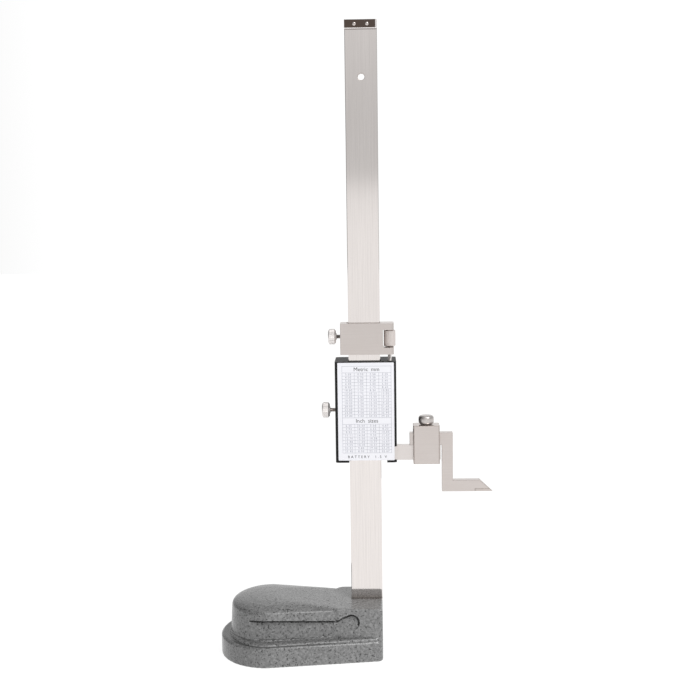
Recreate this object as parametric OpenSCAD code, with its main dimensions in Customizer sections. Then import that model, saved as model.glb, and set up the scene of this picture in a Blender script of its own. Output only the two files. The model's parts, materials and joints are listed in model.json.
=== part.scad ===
// Digital height gauge on a cast base, in millimetres.
// Origin on the surface plate under the middle of the beam, +Z up along the beam,
// +X towards the scriber, -Y on the plain side with the data plate, +Y on the display side.

/* [Beam] */
// Width of the beam
beam_w = 24; // [22:0.5:28]
// Thickness of the beam
beam_t = 6; // [5:0.5:8]
// Height of the beam's top above the surface plate
beam_top = 477.3; // [440:1:600]
// Chamfer along the beam's four edges
beam_chamfer = 0.4; // [0.2:0.1:0.8]
// Diameter of the hanging hole
hang_d = 5.5; // [4:0.5:7]
// Distance of the hanging hole below the beam's top
hang_drop = 40.7; // [20:1:60]
// Width of the scale strip
strip_w = 16; // [12:0.5:18]
// Thickness of the scale strip
strip_t = 0.5; // [0.3:0.1:0.8]

/* [End plate] */
// Height of the end plate
plate_h = 6.5; // [5:0.5:10]
// Thickness of the end plate
plate_t = 3; // [2:0.5:5]
// Bevel around the end plate's face
plate_bevel = 0.7; // [0.3:0.1:1]
// Distance between the two end plate screws
plate_pitch = 9.4; // [7:0.1:14]
// Diameter of the end plate screws' heads
plate_head_d = 2.9; // [2:0.1:3.6]

/* [Base] */
// Length of the base from the beam's edge to the grip end
base_len = 125.5; // [118:0.5:150]
// Greatest width of the base, across the grip
base_w = 87.6; // [80:0.2:100]
// Width of the base's foot at the beam end
base_end_w = 62; // [60:0.5:70]
// Height of the foot flange
flange_h = 15.5; // [12:0.5:18]
// Rounding of the flange's top edge
flange_round = 1.5; // [0.5:0.25:2.5]
// Height of the block that holds the beam
block_h = 40; // [38:0.5:46]
// Length of the block along X
block_len = 37; // [32:0.5:42]
// Width of the block along Y
block_w = 57; // [50:0.5:60]
// Rounding of the block's top edges
block_edge = 0.8; // [0.4:0.1:1.5]
// Step from the flange's edge in to the grip's wall
grip_inset = 7.3; // [6:0.1:9]
// Height of the grip's crown
grip_h = 44; // [42:0.5:50]
// Height at which the grip's wall turns into its crown
grip_wall_h = 36; // [35:0.5:38]
// Length of the finger pockets along the grip
pocket_len = 66; // [60:0.5:72]
// Height of the finger pockets
pocket_h = 15; // [13:0.5:16]
// Depth of the finger pockets at their upper lip
pocket_depth = 3.6; // [2.5:0.1:3.9]
// Fall of the pockets' upper lip from the grip end to the thumb bulb
pocket_fall = 2.8; // [0:0.1:4]
// Height of the groove under the pockets' lip
lip_groove_h = 1.4; // [0.8:0.1:2]
// Depth of that groove behind the pockets' floor
lip_groove_d = 1.5; // [0.8:0.1:2]
// Radius of the thumb bulb at the pocket's end
bulb_r = 6.2; // [5.5:0.1:8]
// Height of the bead around the foot of the grip
bead_h = 2.2; // [1.5:0.1:3]
// Depth of the relief under the base
relief_depth = 1.5; // [1:0.25:3]
// Depth of the beam's slot below the block's top
slot_depth = 33; // [28:0.5:36]

/* [Column screws] */
// Diameter of the screws that hold the beam
column_screw_d = 5; // [4:0.5:6]
// Diameter of their heads
column_head_d = 8.5; // [7:0.25:10]
// Height of their heads
column_head_h = 5; // [4:0.25:6]

/* [Carriage] */
// Height of the fine-feed carriage
carriage_h = 23.6; // [22:0.2:28]
// Gap between the head and the carriage, as photographed
carriage_gap = 5.4; // [3:0.1:12]
// Reach of the carriage past the beam's left edge
carriage_left = 6; // [5:0.25:9]
// Reach of the carriage past the beam's right edge
carriage_right = 10.4; // [10:0.1:12]
// Thickness of the carriage
carriage_t = 15.6; // [14:0.2:18]
// Chamfer on the carriage's right edges
carriage_chamfer = 1.5; // [0.8:0.1:2]
// Thickness of the brass gib strips
gib_t = 1; // [0.8:0.1:1.4]

/* [Fine feed] */
// Diameter of the knurled feed nut
nut_d = 8.8; // [8:0.1:10]
// Height of the feed nut
nut_h = 12.6; // [11:0.1:14]
// Diameter of the feed screw
feed_d = 3; // [2.5:0.25:3.5]
// Distance of the feed screw from the beam's right edge
feed_out = 7.3; // [6.8:0.1:8]
// Fine travel of the head, each way
feed_travel = 2.5; // [1:0.25:2.75]

/* [Lock screws] */
// Diameter of the knurled knobs
knob_d = 11.8; // [10:0.1:14]
// Width of the knurled knobs
knob_h = 5.8; // [5:0.1:7]
// Diameter of the lock screws
lock_d = 3; // [2.5:0.25:4]
// Diameter of the lock pads
pad_d = 3.8; // [3.2:0.1:4.4]
// Length of the lock pads
pad_t = 1.5; // [1:0.1:1.8]
// Travel of the lock pads away from the gib
lock_travel = 1.2; // [0.6:0.1:1.3]
// Gap between the carriage and its knob
carriage_knob_gap = 3.4; // [2.5:0.1:5]
// Gap between the head and its knob
head_knob_gap = 4.4; // [2.5:0.1:6]

/* [Head] */
// Height of the head's underside above the surface plate, as photographed
head_rest = 148.2; // [145:0.1:149]
// Height of the head
head_h = 77.1; // [74:0.1:95]
// Reach of the head past the beam's left edge
head_left = 10.5; // [10:0.1:14]
// Reach of the head past the beam's right edge
head_right = 12; // [11.5:0.1:14]
// Depth of the rear cover from the beam's middle
rear_depth = 8; // [7.6:0.1:9]
// Depth of the slider frame towards the display
frame_front = 8; // [7:0.1:9]
// Depth of the display housing
housing_t = 16.7; // [16:0.1:19]
// Wall of the covers
cover_wall = 1.8; // [1.5:0.1:2.2]
// Radius of the covers' upright corners
cover_r = 2.5; // [1.5:0.1:3.5]
// Thickness of the data plate
data_t = 0.6; // [0.4:0.1:1]
// Height of the lock screw above the head's underside
head_lock_up = 39.6; // [32:0.1:48]

/* [Display] */
// Width of the display window
window_w = 32; // [28:0.5:34]
// Height of the display window
window_h = 20; // [16:0.5:22]
// Thickness of the window pane
window_t = 1; // [0.8:0.1:1.2]
// Diameter of the push buttons
button_d = 6.4; // [5:0.1:7]
// Distance from button to button
button_pitch = 9.6; // [9:0.1:10]
// Travel of the push buttons
button_travel = 0.8; // [0.4:0.1:0.9]
// Diameter of the battery cell
cell_d = 11.6; // [11:0.1:12]
// Thickness of the battery cell
cell_t = 5.4; // [4:0.1:5.6]

/* [Arm and clamp] */
// Height of the arm's section
arm_h = 11.3; // [9:0.1:12]
// Thickness of the arm
arm_t = 6; // [5:0.1:7]
// Reach of the arm past the head
arm_reach = 33.4; // [32:0.1:36]
// Height of the arm's underside above the head's underside
arm_up = 0.9; // [0.5:0.1:2]
// Width of the clamp
clamp_w = 20; // [16:0.5:21]
// Thickness of the clamp
clamp_t = 14.4; // [13:0.1:17]
// Wall under the arm
clamp_floor = 2.4; // [2:0.1:3]
// Wall over the clamp pad, which carries the clamp screw
clamp_roof = 3.6; // [3:0.1:5]
// Diameter of the clamp screw
clamp_screw_d = 5; // [4:0.25:6]
// Height of the clamp screw's knob
clamp_knob_h = 6.7; // [5:0.1:8]
// Thickness of the clamp pad
clamp_pad_t = 1.2; // [0.8:0.1:1.6]
// Travel of the clamp pad
clamp_travel = 1; // [0.5:0.1:1.2]

/* [Scriber] */
// Thickness of the scriber
scriber_t = 7; // [6:0.1:8]
// Height of the scriber's shank
shank_h = 9.3; // [8:0.1:10]
// Width of the scriber's leg
leg_w = 8.3; // [7:0.1:9]
// Depth of the leg below the shank
leg_drop = 36.1; // [28:0.1:44]
// Height of the foot
foot_h = 8.5; // [7:0.1:10]
// Length of the foot's flat top past the leg
foot_len = 20.5; // [16:0.1:26]
// Length of the sloping nose
nose_len = 9.8; // [8:0.1:12]
// Length of the carbide tip
tip_len = 13.4; // [11:0.1:16]
// Thickness of the carbide tip
tip_t = 1.9; // [1.4:0.1:2.4]

/* [Hidden] */
$fn = 48;

// One overrun for every cut, and the gaps between parts
over = 1;
run_gap = 0.05;
slide_gap = 0.15;
seat_gap = 0.3;
// Thickness of the slices that a rounded body is spread over
slice_t = 0.02;

// The beam and its slot
beam_x = beam_w / 2;
beam_y = beam_t / 2;
slot_z = block_h - slot_depth;
strip_z0 = block_h + flange_round;
hang_z = beam_top - hang_drop;
strip_z1 = hang_z - hang_d;
plate_z0 = beam_top - plate_h;
plate_y = beam_y + plate_t;
plate_screw_z = beam_top - plate_h / 2;
plate_shank_d = plate_head_d * 0.55;
plate_shank_len = beam_t * 0.6;

// The base's outline: half an ellipse around the grip and rounded corners at the beam
base_x0 = beam_x - base_len;
base_ax = base_len * 0.307;
base_cx = base_x0 + base_ax;
base_ay = base_w / 2;
base_corner = block_w * 0.088;
block_x0 = beam_x - block_len;
block_y = block_w / 2;
block_r_left = block_w * 0.105;
block_r_right = block_w * 0.035;
arc_n = 30;
corner_n = 6;

// The grip's outline, its crown and the run of its ridge down to the block
grip_ax = base_ax - grip_inset;
grip_ay = base_ay - grip_inset;
grip_x1 = block_x0 + block_len * 0.4;
grip_end_y = block_y - block_edge * 3;
grip_end_r = block_r_left;
grip_draft = 1.2;
crown_power = 2.8;
crown_run = base_len * 0.51;
crown_shares = [1, 0.99, 0.965, 0.92, 0.84, 0.72, 0.5, 0.2];

// The finger pockets on the grip's flanks
flank_angle = atan((grip_ay - block_y) / (block_x0 - base_cx));
pocket_z0 = flange_h + 2.1 * flange_round;
pocket_x0 = base_cx - base_ax * 0.36;
pocket_r = pocket_h * 0.45;
pocket_tilt = 12;
pocket_yaw = 2.6;
pocket_x1 = pocket_x0 + pocket_len;
pocket_lip = pocket_z0 + pocket_h;
bulb_x = pocket_x1 + bulb_r * 1.8;
bulb_z = pocket_lip - bulb_r * 0.62;
lip_x1 = pocket_x1 - bulb_r * 0.2;
lip_z1 = pocket_lip - pocket_fall;
swing_x = bulb_x - bulb_r * 0.62;
swing_z = bulb_z + bulb_r * 0.785;

// The bead lies on the flange, just inside its edge, and slopes in to the grip's wall
bead_in = flange_round * 0.7;
bead_slope = bead_h * 0.8;

// The relief under the base
relief_x0 = base_cx - base_ax * 0.45;
relief_x1 = block_x0 - base_corner;
relief_y = base_ay * 0.55;
relief_r = base_corner;

// The column screws, as shares of the slot's depth and the beam's width
column_screw_shares = [[-0.25, 0.37], [0.25, 0.55], [-0.25, 0.76]];
column_head_y = block_y - column_head_h - block_edge;
column_tip_y = beam_y - beam_t * 0.9;
socket_share = 0.62;

// The carriage and what rides in it
carriage_z0 = head_rest + head_h + carriage_gap;
carriage_z1 = carriage_z0 + carriage_h;
carriage_x0 = -beam_x - carriage_left;
carriage_x1 = beam_x + carriage_right;
carriage_y = carriage_t / 2;
gib_x1 = -beam_x - slide_gap;
gib_x0 = gib_x1 - gib_t;
channel_x0 = gib_x0 - slide_gap;
channel_x1 = beam_x + slide_gap;
channel_y = beam_y + slide_gap;
gib_y = beam_y - slide_gap;
gib_end = carriage_h * 0.03;
feed_x = beam_x + feed_out;
nut_gap = 0.4;
nut_z0 = carriage_z0 + (carriage_h - nut_h) / 2;
nut_z1 = nut_z0 + nut_h;
notch_x0 = feed_x - nut_d / 2 - seat_gap * 2;
carriage_lock_z = carriage_z0 + carriage_h * 0.56;

// The lock pads and screws
pad_x1 = channel_x0;
pad_x0 = pad_x1 - pad_t;
pad_pocket_x0 = pad_x0 - lock_travel - slide_gap;
lock_tip_x = pad_x0 - run_gap;
knurl_depth = 0.35;
knurl_n = 26;
knob_chamfer = knob_h * 0.14;

// The head: frame, covers and plate
head_z0 = head_rest;
head_z1 = head_rest + head_h;
head_x0 = -beam_x - head_left;
head_x1 = beam_x + head_right;
frame_x0 = head_x0 + cover_wall + run_gap;
frame_x1 = head_x1 - cover_wall - run_gap;
frame_z0 = head_z0 + cover_wall + run_gap;
frame_z1 = head_z1 - cover_wall - run_gap;
frame_back = rear_depth - cover_wall * 1.4;
front_y0 = frame_front;
front_y1 = frame_front + housing_t;
arm_z0 = head_z0 + arm_up;
arm_z1 = arm_z0 + arm_h;
arm_x1 = head_x1 + arm_reach;
head_lock_z = head_z0 + head_lock_up;
data_x0 = head_x0 + cover_wall * 1.2;
data_x1 = head_x1 - cover_wall;
data_z0 = frame_z0;
data_z1 = head_z1 - cover_wall * 0.28;
sensor_x = beam_w * 0.37;
sensor_z0 = head_z0 + head_h * 0.22;
sensor_z1 = head_z0 + head_h * 0.84;
feed_root = head_z1 - head_h * 0.16;
feed_end = nut_z1 - feed_travel * 0.6;
feed_hole_z1 = feed_end + feed_travel + seat_gap;
gib_screw_d = lock_d * 0.8;
gib_screw_shares = [0.24, 0.8];

// The display side
window_z = head_z0 + head_h * 0.74;
window_x = (head_x0 + head_x1) / 2;
window_rim = window_t * 1.2;
front_wall = cover_wall;
wall_y = front_y1 - front_wall;
board_t = 1.2;
board_y0 = front_y0 + seat_gap;
board_y1 = board_y0 + board_t;
lcd_t = 2;
lcd_y1 = wall_y - run_gap;
lcd_y0 = lcd_y1 - lcd_t;
strip_h = 1.8;
lcd_x = window_w / 2 + strip_h;
lcd_z = window_h / 2 + strip_h;
button_z = head_z0 + head_h * 0.435;
button_flange = button_d * 0.12;
button_flange_t = 1.1;
button_rise = 1.3;
dome_h = 0.4;
dome_d = button_d * 0.6;
cell_z = head_z0 + head_h * 0.175;
cell_y1 = wall_y;
cell_y0 = cell_y1 - cell_t;
cell_ring = 1.3;
cover_t = 1.1;
batt_w = cell_d * 1.6;
batt_z1 = cell_z + cell_d * 0.66;
batt_floor = front_wall - cover_t - slide_gap;
contact_t = 0.4;
contact_w = cell_d * 0.35;
port_y = (front_y0 + front_y1) / 2;
port_z = head_z0 + head_h * 0.6;
port_w = 5;
port_h = 10;
port_lip = 1.2;
port_t = 1;
housing_screw_d = 2;
housing_screw_in = cover_wall * 2;

// The clamp and the scriber on the arm
scriber_z0 = arm_z1 + slide_gap;
scriber_z1 = scriber_z0 + shank_h;
clamp_x = head_x1 + arm_reach * 0.675;
clamp_x0 = clamp_x - clamp_w / 2;
clamp_x1 = clamp_x + clamp_w / 2;
clamp_z0 = arm_z0 - slide_gap - clamp_floor;
pad_z0 = scriber_z1 + slide_gap;
pad_z1 = pad_z0 + clamp_pad_t;
clamp_window_z1 = pad_z1 + clamp_travel + slide_gap;
clamp_z1 = clamp_window_z1 + clamp_roof;
clamp_edge = 0.6;
clamp_knob_z = clamp_z1 + seat_gap;
leg_x0 = arm_x1 + arm_h * 0.08;
leg_x1 = leg_x0 + leg_w;
shank_x0 = clamp_x0 - arm_h * 0.24;
foot_z0 = scriber_z0 - leg_drop;
foot_z1 = foot_z0 + foot_h;
foot_x1 = leg_x1 + foot_len;
nose_x = foot_x1 + nose_len;
tip_x0 = nose_x - tip_len;
tip_z1 = foot_z0 + tip_t;
tip_x1 = nose_x - nose_len * tip_t / foot_h;
bevel_x = tip_x0 + tip_len * 0.25;
bevel_y = scriber_t / 2 - scriber_t * 0.12;

// A box from one corner to the other
module span(x0, x1, y0, y1, z0, z1) {
    translate([x0, y0, z0]) cube([x1 - x0, y1 - y0, z1 - z0]);
}

// Round bars along the three axes
module bar_x(r, x0, x1, y, z) {
    translate([x0, y, z]) rotate([0, 90, 0]) cylinder(r = r, h = x1 - x0);
}
module bar_y(r, y0, y1, x, z) {
    translate([x, y0, z]) rotate([-90, 0, 0]) cylinder(r = r, h = y1 - y0);
}
module bar_z(r, z0, z1, x, y) {
    translate([x, y, z0]) cylinder(r = r, h = z1 - z0);
}

// A rectangle with its own radius on the two corners at y0 and square corners at y1
module half_round_rect(x0, x1, y0, y1, r) {
    translate([x0, y0 + r]) square([x1 - x0, y1 - y0 - r]);
    translate([x0 + r, y0]) square([x1 - x0 - 2 * r, r]);
    for (x = [x0 + r, x1 - r]) translate([x, y0 + r]) circle(r = r);
}

// A rectangle with four rounded corners
module round_rect(x0, x1, y0, y1, r) {
    translate([x0, y0 + r]) square([x1 - x0, y1 - y0 - 2 * r]);
    translate([x0 + r, y0]) square([x1 - x0 - 2 * r, y1 - y0]);
    for (x = [x0 + r, x1 - r], y = [y0 + r, y1 - r]) translate([x, y]) circle(r = r);
}

// Outline of the base, CCW: half an ellipse at the grip, two rounded corners at the beam
function egg(cx, ax, ay, x1, w, r) = concat(
    [for (i = [0:arc_n]) let (a = 90 + 180 * i / arc_n) [cx + ax * cos(a), ay * sin(a)]],
    [for (i = [0:corner_n]) let (a = -90 + 90 * i / corner_n) [x1 - r + r * cos(a), r - w + r * sin(a)]],
    [for (i = [0:corner_n]) let (a = 90 * i / corner_n) [x1 - r + r * cos(a), w - r + r * sin(a)]]);

// Outline of the block, CCW, with one radius at the grip and another at the beam's end
function block_outline(inset) = let (
    corners = [[block_x0, block_r_left, 90], [block_x0, block_r_left, 180],
        [beam_x, block_r_right, 270], [beam_x, block_r_right, 0]])
    [for (k = [0:3], i = [0:corner_n])
        let (c = corners[k], a = c[2] + 90 * i / corner_n, r = c[1],
            sx = k < 2 ? 1 : -1, sy = k == 0 || k == 3 ? 1 : -1)
        [c[0] + sx * (inset + r) + r * cos(a), sy * (block_y - inset - r) + r * sin(a)]];

// Outline of a knurled round, one rib after the other
function knurl(r, n, depth) = [for (i = [0:2 * n - 1]) let (a = 180 * i / n, q = i % 2 == 0 ? r : r - depth)
    [q * cos(a), q * sin(a)]];

// A knurled band along Z between two plain chamfered shoulders
module knurled(r, h, chamfer) {
    shoulder = r - knurl_depth * 1.3;
    translate([0, 0, chamfer]) linear_extrude(h - 2 * chamfer) polygon(knurl(r, knurl_n, knurl_depth));
    rotate_extrude() polygon([[0, 0], [shoulder - chamfer / 2, 0], [shoulder, chamfer / 2],
        [shoulder, h - chamfer / 2], [shoulder - chamfer / 2, h], [0, h]]);
}

module base_slice(z, inset) {
    translate([0, 0, z]) linear_extrude(slice_t)
        polygon(egg(base_cx, base_ax - inset, base_ay - inset, beam_x, base_end_w / 2 - inset, base_corner));
}

// One slice of the grip: share 1 is the wall's top, and smaller shares climb the crown
module grip_slice(share) {
    rise = pow(1 - pow(share, crown_power), 1 / crown_power);
    z = grip_wall_h + (grip_h - grip_wall_h) * rise;
    x1 = grip_x1 - crown_run * rise * rise;
    translate([0, 0, z]) linear_extrude(slice_t)
        polygon(egg(base_cx, (grip_ax - grip_draft) * share, (grip_ay - grip_draft) * share,
            x1, grip_end_y * share, grip_end_r * share));
}

// One slice of the bead: as narrow as the grip at its end, as wide as the flange at the sides
module bead_slice(z, inset) {
    translate([0, 0, z]) linear_extrude(slice_t)
        polygon(egg(base_cx, grip_ax + slide_gap - inset, base_ay - bead_in - inset,
            beam_x - bead_in - inset, base_end_w / 2 - bead_in - inset / 2, base_corner - inset / 2));
}

module block_slice(z, inset) {
    translate([0, 0, z]) linear_extrude(slice_t) polygon(block_outline(inset));
}

// The upper lip's swing from the thumb bulb down to its low point
function lip_curve() = [for (i = [0:arc_n]) let (s = 1 - i / arc_n, k = s * s * (3 - 2 * s))
    [lip_x1 + (swing_x - lip_x1) * s, lip_z1 + (swing_z - lip_z1) * k]];

// Outline of the groove under the lip: a band below it and a part ring around the thumb bulb
module lip_groove_outline() {
    edge = concat(lip_curve(), [[pocket_x0, pocket_lip]]);
    last = len(edge) - 1;
    polygon(concat(edge, [for (i = [last:-1:0]) edge[i] - [0, lip_groove_h]]));
    intersection() {
        difference() {
            translate([bulb_x, bulb_z]) circle(r = bulb_r);
            translate([bulb_x, bulb_z]) circle(r = bulb_r - lip_groove_h);
        }
        translate([swing_x, bulb_z - bulb_r * 0.42]) square(bulb_r * 2);
    }
}

// Outline of one finger pocket, seen from the side: its upper lip falls towards a raised thumb bulb
module pocket_outline() {
    polygon(concat([[pocket_x0, pocket_lip]],
        [for (i = [0:corner_n]) let (a = 180 + 90 * i / corner_n)
            [pocket_x0 + pocket_r + pocket_r * cos(a), pocket_z0 + pocket_r + pocket_r * sin(a)]],
        [[bulb_x, pocket_z0], [bulb_x, bulb_z]], lip_curve()));
    translate([bulb_x, bulb_z]) circle(r = bulb_r);
    translate([bulb_x, pocket_z0]) square([bulb_r * 0.4, bulb_z - pocket_z0]);
}

// One tilted groove in a wall that starts at [x, -y] and turns away by an angle: its upper lip overhangs
module pocket_groove(x, y, angle) {
    translate([x, -y, grip_wall_h]) rotate([0, 0, angle]) rotate([-pocket_tilt, 0, 0]) {
        translate([-x, pocket_depth, -grip_wall_h]) rotate([90, 0, 0])
            linear_extrude(pocket_depth + flange_h) pocket_outline();
        translate([-x, pocket_depth + lip_groove_d, -grip_wall_h]) rotate([90, 0, 0])
            linear_extrude(pocket_depth + lip_groove_d) lip_groove_outline();
    }
}

// The pocket follows the grip's flank up to the block, and the block's own wall from there
module pocket_cut() {
    reach = 2 * base_len;
    intersection() {
        pocket_groove(block_x0, block_y - grip_draft, flank_angle - pocket_yaw);
        span(block_x0 - reach, block_x0, -reach, 0, flange_h + slice_t, grip_h);
    }
    intersection() {
        pocket_groove(block_x0, block_y, 0);
        span(block_x0, block_x0 + reach, -reach, 0, flange_h + slice_t, grip_h);
    }
}

module base_casting() {
    color("dimgray") difference() {
        union() {
            hull() {
                base_slice(0, 0);
                base_slice(flange_h - flange_round, 0);
                base_slice(flange_h - slice_t, flange_round);
            }
            hull() {
                bead_slice(flange_h - flange_round, 0);
                bead_slice(flange_h + bead_h * 0.6, 0);
                bead_slice(flange_h + bead_h - slice_t, bead_slope);
            }
            hull() {
                translate([0, 0, flange_h - flange_round]) linear_extrude(slice_t)
                    polygon(egg(base_cx, grip_ax, grip_ay, grip_x1, grip_end_y, grip_end_r));
                for (share = crown_shares) grip_slice(share);
            }
            hull() {
                block_slice(slot_z, 0);
                block_slice(block_h - block_edge, 0);
                block_slice(block_h - slice_t, block_edge);
            }
        }
        pocket_cut();
        mirror([0, 1, 0]) pocket_cut();
        span(-beam_x, beam_x + over, -beam_y, beam_y, slot_z, block_h + over);
        for (s = column_screw_shares) {
            x = beam_w * s[0];
            z = slot_z + slot_depth * s[1];
            bar_y(column_screw_d / 2 + run_gap, beam_y - slide_gap, block_y, x, z);
            bar_y(column_head_d / 2 + run_gap, column_head_y, block_y + over, x, z);
        }
        translate([0, 0, -over]) linear_extrude(relief_depth + over)
            round_rect(relief_x0, relief_x1, -relief_y, relief_y, relief_r);
    }
}

module column_beam() {
    c = beam_chamfer;
    color("silver") difference() {
        translate([0, 0, slot_z]) linear_extrude(beam_top - slot_z)
            polygon([[c - beam_x, -beam_y], [beam_x - c, -beam_y], [beam_x, c - beam_y], [beam_x, beam_y - c],
                [beam_x - c, beam_y], [c - beam_x, beam_y], [-beam_x, beam_y - c], [-beam_x, c - beam_y]]);
        bar_y(hang_d / 2, -beam_t, beam_t, 0, hang_z);
        for (s = column_screw_shares)
            bar_y(column_screw_d / 2 + run_gap, column_tip_y - run_gap, beam_t,
                beam_w * s[0], slot_z + slot_depth * s[1]);
        for (side = [-1, 1])
            bar_y(plate_shank_d / 2 + run_gap, -beam_t, plate_shank_len - beam_y + run_gap,
                side * plate_pitch / 2, plate_screw_z);
        span(-strip_w / 2, strip_w / 2, beam_y - strip_t, beam_t, strip_z0, strip_z1);
    }
}

module column_screws() {
    color("dimgray") for (s = column_screw_shares) {
        x = beam_w * s[0];
        z = slot_z + slot_depth * s[1];
        difference() {
            union() {
                bar_y(column_screw_d / 2, column_tip_y, column_head_y + run_gap, x, z);
                bar_y(column_head_d / 2, column_head_y, column_head_y + column_head_h, x, z);
            }
            translate([x, column_head_y + column_head_h * 0.45, z]) rotate([-90, 0, 0])
                cylinder(d = column_screw_d * socket_share * 1.35, h = column_head_h, $fn = 6);
        }
    }
}

module scale_strip() {
    color("gold") span(-strip_w / 2, strip_w / 2, beam_y - strip_t, beam_y, strip_z0, strip_z1);
}

module end_plate() {
    b = plate_bevel;
    color("black") difference() {
        hull() {
            span(-beam_x, beam_x, b - plate_y, -beam_y, plate_z0, beam_top);
            span(b - beam_x, beam_x - b, -plate_y, -beam_y, plate_z0 + b, beam_top - b);
        }
        for (side = [-1, 1])
            bar_y(plate_shank_d / 2 + run_gap, -plate_y - over, 0, side * plate_pitch / 2, plate_screw_z);
    }
}

module end_plate_screws() {
    head_h = plate_head_d * 0.3;
    color("gainsboro") for (side = [-1, 1]) {
        bar_y(plate_head_d / 2, -plate_y - head_h, -plate_y, side * plate_pitch / 2, plate_screw_z);
        bar_y(plate_shank_d / 2, -plate_y - head_h / 2, plate_shank_len - beam_y, side * plate_pitch / 2, plate_screw_z);
    }
}

// The carriage: a block with a channel for the beam, a notch for the nut and a seat for the lock pad
module carriage_body() {
    c = carriage_chamfer;
    e = beam_chamfer;
    color("silver") difference() {
        translate([0, 0, carriage_z0]) linear_extrude(carriage_h)
            polygon([[carriage_x0 + e, -carriage_y], [carriage_x1 - c, -carriage_y], [carriage_x1, c - carriage_y],
                [carriage_x1, carriage_y - c], [carriage_x1 - c, carriage_y], [carriage_x0 + e, carriage_y],
                [carriage_x0, carriage_y - e], [carriage_x0, e - carriage_y]]);
        span(channel_x0, channel_x1, -channel_y, channel_y, carriage_z0 - over, carriage_z1 + over);
        span(notch_x0, carriage_x1 + over, -carriage_y - over, carriage_y + over, nut_z0 - nut_gap, nut_z1 + nut_gap);
        bar_x(lock_d / 2 + run_gap, carriage_x0 - over, channel_x0, 0, carriage_lock_z);
        bar_x(pad_d / 2 + run_gap, pad_pocket_x0, channel_x0 + slide_gap, 0, carriage_lock_z);
        bar_z(feed_d / 2 + seat_gap, carriage_z0 - over, feed_hole_z1, feed_x, 0);
    }
}

module carriage_gib() {
    color("goldenrod") span(gib_x0, gib_x1, -gib_y, gib_y, carriage_z0 + gib_end, carriage_z1 - gib_end);
}

module feed_nut() {
    color("gainsboro") difference() {
        translate([feed_x, 0, nut_z0]) knurled(nut_d / 2, nut_h, nut_d * 0.05);
        bar_z(feed_d / 2 + run_gap, nut_z0 - over, nut_z1 + over, feed_x, 0);
    }
}

module lock_pad(z) {
    color("goldenrod") bar_x(pad_d / 2, pad_x0, pad_x1, 0, z);
}

// A knurled lock screw whose knob's inner face is at knob_x
module lock_screw(knob_x, z) {
    color("gainsboro") {
        translate([knob_x, 0, z]) rotate([0, -90, 0]) knurled(knob_d / 2, knob_h, knob_chamfer);
        bar_x(lock_d / 2, knob_x - knob_chamfer, lock_tip_x, 0, z);
        bar_x(knob_d * 0.24, knob_x - knob_chamfer, knob_x + knob_chamfer, 0, z);
    }
}

module carriage_lock_pad() { lock_pad(carriage_lock_z); }
module carriage_lock_screw() { lock_screw(carriage_x0 - carriage_knob_gap, carriage_lock_z); }
module head_lock_pad() { lock_pad(head_lock_z); }
module head_lock_screw() { lock_screw(head_x0 - head_knob_gap, head_lock_z); }

// The steel slider with its arm
module head_frame() {
    color("silver") difference() {
        union() {
            span(frame_x0, frame_x1, -frame_back, front_y0, frame_z0, frame_z1);
            span(frame_x1 - over, head_x1, -frame_back, front_y0, frame_z0, arm_z1 - slide_gap);
            span(frame_x1 - over, arm_x1, -arm_t / 2, arm_t / 2, arm_z0, arm_z1);
        }
        span(channel_x0, channel_x1, -channel_y, channel_y, frame_z0 - over, frame_z1 + over);
        span(-sensor_x, sensor_x, 0, front_y0 + over, sensor_z0, sensor_z1);
        bar_x(lock_d / 2 + run_gap, frame_x0 - over, channel_x0, 0, head_lock_z);
        bar_x(pad_d / 2 + run_gap, pad_pocket_x0, channel_x0 + slide_gap, 0, head_lock_z);
        for (s = gib_screw_shares)
            bar_x(gib_screw_d / 2 + run_gap, frame_x0 - over, channel_x0 + slide_gap, 0, head_z0 + head_h * s);
        bar_z(feed_d / 2 + run_gap, feed_root, frame_z1 + over, feed_x, 0);
    }
}

module head_gib() {
    color("goldenrod") span(gib_x0, gib_x1, -gib_y, gib_y, frame_z0 + gib_end, frame_z1 - gib_end);
}

module gib_screws() {
    color("dimgray") for (s = gib_screw_shares)
        bar_x(gib_screw_d / 2, frame_x0 + gib_screw_d, gib_x0, 0, head_z0 + head_h * s);
}

// The black cover around the slider's back and sides
module rear_cover() {
    color("black") difference() {
        translate([0, 0, head_z0]) linear_extrude(head_h)
            half_round_rect(head_x0, head_x1, -rear_depth, front_y0, cover_r);
        span(head_x0 + cover_wall, head_x1 - cover_wall, -frame_back - run_gap, front_y0 + over,
            head_z0 + cover_wall, head_z1 - cover_wall);
        span(-beam_x - seat_gap, beam_x + seat_gap, -beam_y - seat_gap, beam_y + seat_gap,
            head_z1 - cover_wall - over, head_z1 + over);
        span(-beam_x - seat_gap, beam_x + head_right * 0.38, -rear_depth - over, beam_y + seat_gap,
            head_z0 - over, head_z0 + cover_wall + over);
        span(frame_x1 - over - run_gap, head_x1 + over, -rear_depth - over, front_y0 + over, arm_z0 - run_gap, arm_z1);
        bar_x(lock_d / 2 + seat_gap, head_x0 - over, head_x0 + cover_wall + over, 0, head_lock_z);
        bar_z(feed_d / 2 + seat_gap, head_z1 - cover_wall - over, head_z1 + over, feed_x, 0);
    }
}

module data_plate() {
    color("white") translate([0, -rear_depth, 0]) rotate([90, 0, 0]) linear_extrude(data_t)
        round_rect(data_x0, data_x1, data_z0, data_z1, data_t);
}

module feed_screw() {
    color("silver") bar_z(feed_d / 2, feed_root, feed_end, feed_x, 0);
}

// Places of the four push buttons
function button_x(k) = window_x + (k - 2.5) * button_pitch;

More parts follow.
